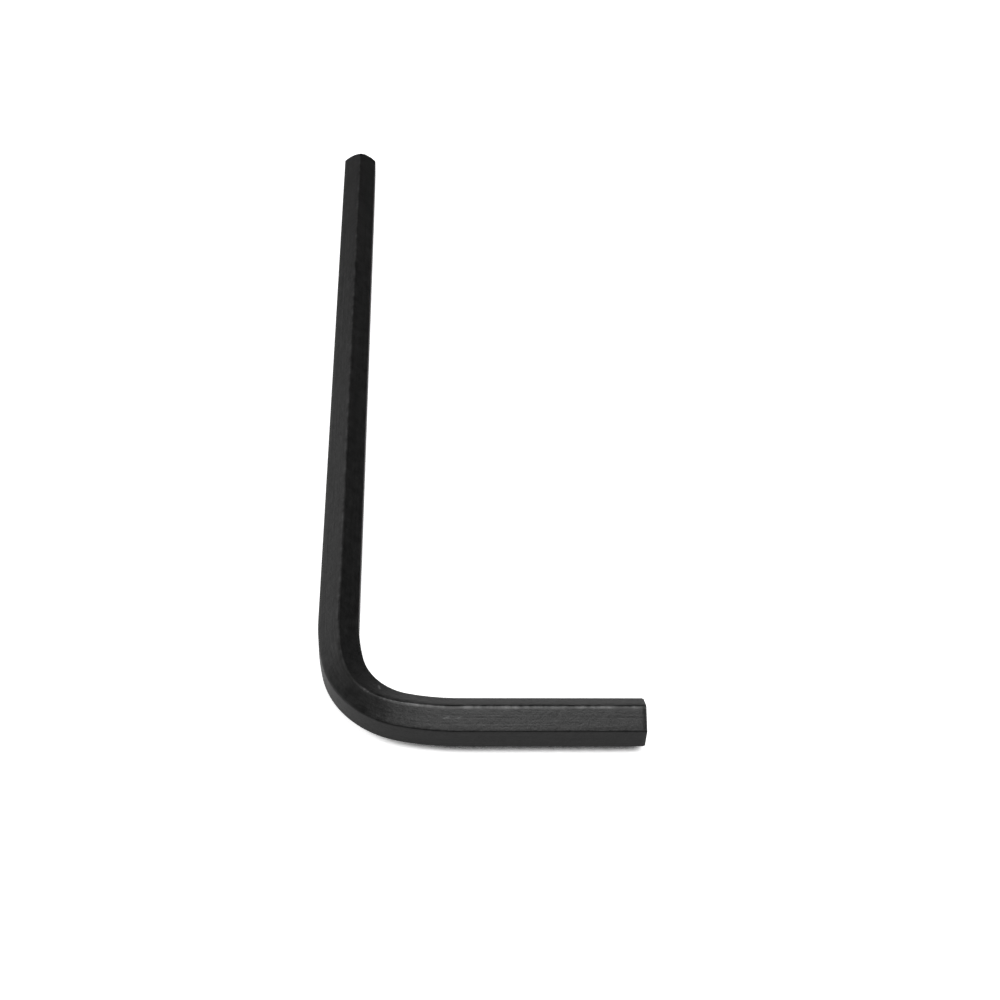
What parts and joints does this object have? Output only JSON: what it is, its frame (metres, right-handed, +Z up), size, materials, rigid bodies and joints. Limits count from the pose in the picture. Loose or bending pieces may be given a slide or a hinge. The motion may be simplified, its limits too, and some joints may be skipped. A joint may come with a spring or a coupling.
{
  "type": "hex key",
  "caption": "Hexagonal steel bar bent into an L with a long and a short arm, both ends chamfered to drive hexagon socket screws.",
  "frame": {"origin": "centre of the key's footprint, on the surface that it lies on", "axes": "+Y along the long arm towards its end, +X along the short arm towards its end, +Z up"},
  "size_m": [0.0195, 0.0588, 0.0028],
  "materials": {
    "black_oxide": "semi-gloss black oxide on drawn steel"
  },
  "bodies": {
    "root": {"hex_key": "black_oxide"}
  },
  "joints": []
}
